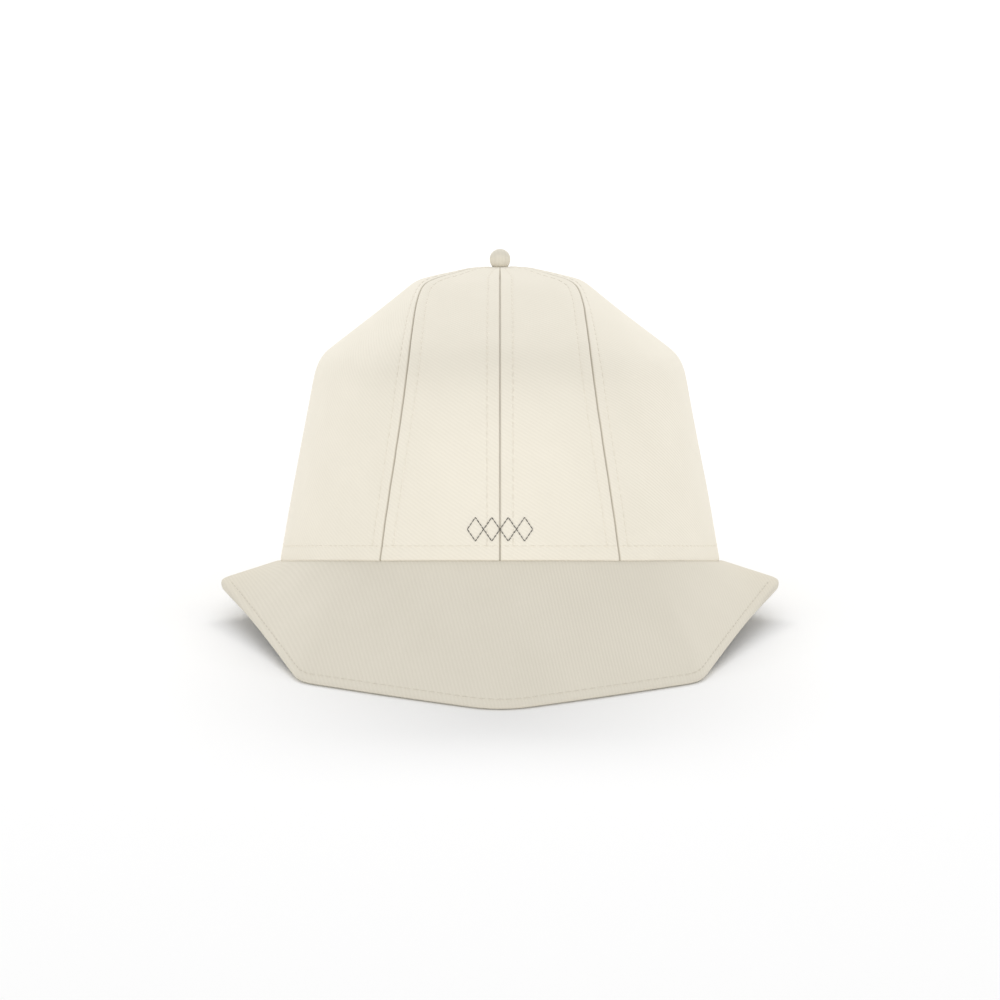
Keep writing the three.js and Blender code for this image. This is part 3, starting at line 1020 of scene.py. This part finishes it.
dress(peak, BEIGE_TWILL, replaces=["peak"])

# %% [markdown]
# One row of stitches holds the peak's cloth to its board. It runs 4 mm in from the edge, in the
# channel there, and starts and ends where the channel does.

# %% The peak's row of stitches
PEAK_STITCH_IN = next(stop["in"] for stop in EDGE_SECTION if stop["place"] == "channel")
PEAK_STITCH_STEPS = 240
stitched = 1 - 2 * STITCHED_FROM
peak_route = []
for step in range(PEAK_STITCH_STEPS + 1):
    around = STITCHED_FROM + stitched * step / PEAK_STITCH_STEPS
    peak_route.append(peak_point(around, share_out(around, PEAK_STITCH_IN), STITCH_DEPTH))
dress(sew("topstitch_peak", peak_route), BEIGE_THREAD)

# %% [markdown]
# ## A small motif on the front
# Low on the front a plain border ornament is embroidered in thin dark thread: a chain of
# diamonds, as is sewn on caps everywhere. It is two zigzag lines that cross, each a row of short
# stitches on the cloth, and it passes over the centre seam.

# %% The chain of diamonds
MOTIF = {"half_width": 12.6, "low": 8.0, "high": 18.0, "diamonds": 4}
EMBROIDERY = {"length": 1.6, "gap": 0.02, "thick": 0.36}
MOTIF_STEPS = 12
MOTIF_LIFT = 0.12  # how far the thread's middle lies above the cloth's face


def on_the_front(across, up):
    """A point on the cloth of the front panels, across from the centre seam and up from the hem."""
    climb = up * CLIMB_PER_MM
    span = FRONT if across >= 0 else on_the_right(FRONT)
    pace, _ = seam_pace(span, climb)
    return leaned(panel_point(span, across / pace, climb, abs(across), -MOTIF_LIFT))


def embroidered_line(name, corners):
    """A row of short stitches through corners given as (across, up) in mm."""
    route = []
    for (x, y), (next_x, next_y) in zip(corners, corners[1:]):
        for step in range(MOTIF_STEPS):
            share = step / MOTIF_STEPS
            route.append(on_the_front(x + (next_x - x) * share, y + (next_y - y) * share))
    route.append(on_the_front(*corners[-1]))
    return sew(name, route, EMBROIDERY)


def zigzag(first, second):
    """Corners across the motif, first and second by turns up from the middle line."""
    middle = (MOTIF["low"] + MOTIF["high"]) / 2
    heights = [middle, first, middle, second]
    pitch = MOTIF["half_width"] / MOTIF["diamonds"]
    stops = range(2 * MOTIF["diamonds"] + 1)
    return [(-MOTIF["half_width"] + pitch * stop, heights[stop % len(heights)]) for stop in stops]


rising_line = embroidered_line("rising_line", zigzag(MOTIF["high"], MOTIF["low"]))
falling_line = embroidered_line("falling_line", zigzag(MOTIF["low"], MOTIF["high"]))
dress(joined("embroidered_motif", [rising_line, falling_line]), GREY_THREAD)

# %% [markdown]
# ## Floor, light and camera
# The cap lies on a sheet of matt white paper that fills the view, so all that the eye sees of
# the floor is the shadow.

# %% The floor
FLOOR_WIDTH = 16

pick()
bpy.ops.mesh.primitive_plane_add(size=FLOOR_WIDTH)
floor = named("studio_floor")
floor_material, _, _ = new_material("white_paper", Base_Color=linear("#fbfbfb"), Roughness=1.0)
floor.data.materials.append(floor_material)
print("a floor", FLOOR_WIDTH, "m wide")

# %% [markdown]
# A bright, even sky keeps the colours close to the dye. A wide soft light above and behind draws
# the soft shadow in front of the peak, and two low ones from the front corners light the crown
# evenly.

# %% The light
SKY_STRENGTH = 0.74
AIM_UP = 0.05  # how high the lights aim, about the middle of the crown

scene = bpy.context.scene
scene.view_settings.view_transform = "Standard"
world = bpy.data.worlds.new("studio_sky")
world.use_nodes = True
sky = world.node_tree.nodes["Background"]
sky.inputs["Color"].default_value = (1.0, 1.0, 1.0, 1.0)
sky.inputs["Strength"].default_value = SKY_STRENGTH
scene.world = world


def soft_light(name, place, width, height, power):
    """An area light at a place, facing the cap."""
    pick()
    bpy.ops.object.light_add(type="AREA", location=place)
    lamp = named(name)
    lamp.data.shape = "RECTANGLE"
    lamp.data.size, lamp.data.size_y = width, height
    lamp.data.energy = power
    aim = Vector((0, 0, AIM_UP)) - Vector(place)
    lamp.rotation_euler = aim.to_track_quat("-Z", "Y").to_euler()
    print(name, "gives", power, "watts from", round(aim.length, 1), "m")


soft_light("rear_softbox", place=(0.0, 2.1, 1.7), width=2.2, height=0.6, power=34.0)
for side, across in (("left", -2.2), ("right", 2.2)):
    soft_light(f"{side}_softbox", place=(across, -1.9, 0.4), width=1.4, height=0.6, power=20.0)

# %% [markdown]
# The camera stands far off with a long lens, which keeps the crown's sides nearly parallel, and
# looks down on the cap by about 15 degrees.

# %% The camera
CAMERA_UP = math.radians(15.3)
CAMERA_AWAY = 3.24
CENTRE_UP = 0.0375  # how far the view's middle is above the ears' line, as the camera sees it

looking = Vector((0, math.cos(CAMERA_UP), -math.sin(CAMERA_UP)))
view_up = Vector((0, math.sin(CAMERA_UP), math.cos(CAMERA_UP)))
bpy.ops.object.camera_add(
    location=Vector((0, ear_y * MM, 0)) - looking * CAMERA_AWAY + view_up * CENTRE_UP,
    rotation=(math.pi / 2 - CAMERA_UP, 0, 0),
)
camera = bpy.context.object
camera.data.lens = 300
camera.data.sensor_width = 36
scene.camera = camera
print("the camera stands at", [round(place, 2) for place in camera.location])
